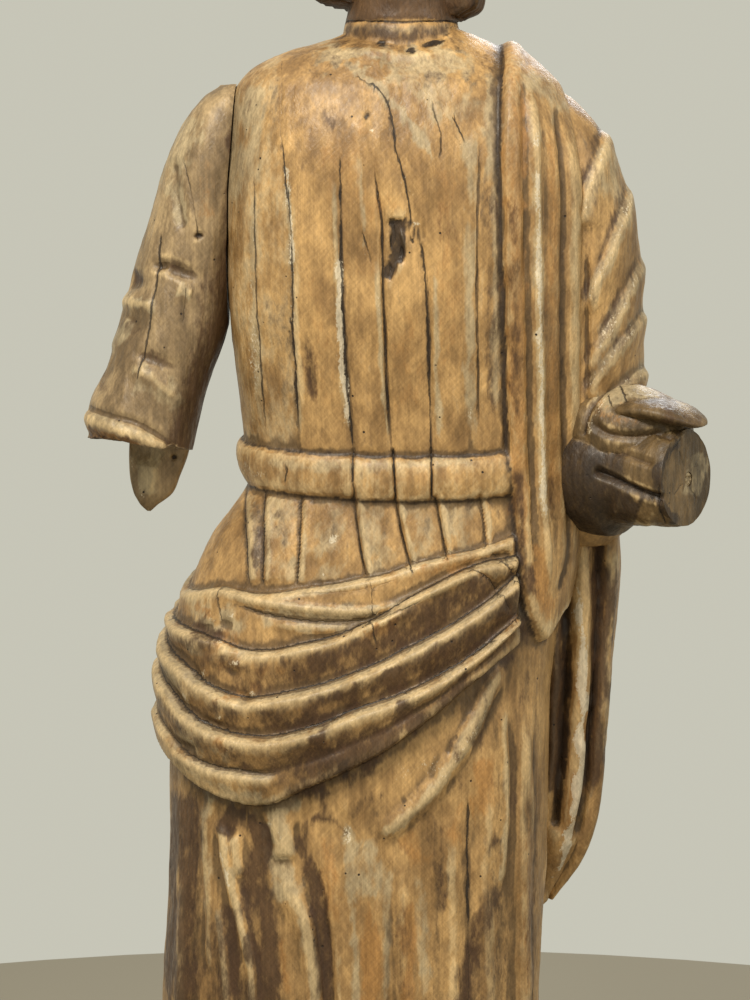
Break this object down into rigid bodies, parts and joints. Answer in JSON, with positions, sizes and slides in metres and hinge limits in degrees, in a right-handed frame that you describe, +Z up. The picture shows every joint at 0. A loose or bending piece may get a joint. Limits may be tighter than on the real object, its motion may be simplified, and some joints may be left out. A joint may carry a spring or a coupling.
{
  "type": "wooden saint statue",
  "caption": "Weathered carved wooden statue of a standing robed saint on a low base. The right arm ends at its sleeve and the left forearm at the wrist, where the hand is lost.",
  "frame": {"origin": "centre of the flat underside of the base", "axes": "+Z up the figure, the saint faces -Y, +X towards the saint's left hand"},
  "size_m": [0.4003, 0.236, 1.2425],
  "materials": {
    "weathered_wood": "waxed, worn, with remains of ground and paint",
    "greyed_wood": "waxed, worn, greyed",
    "dark_wood": "darkened, semi-gloss",
    "dowel_wood": "raw broken end"
  },
  "bodies": {
    "root": {"carved_figure": "weathered_wood", "right_arm": "greyed_wood", "left_forearm": "dark_wood", "hand_dowel_stub": "dowel_wood"}
  },
  "joints": []
}
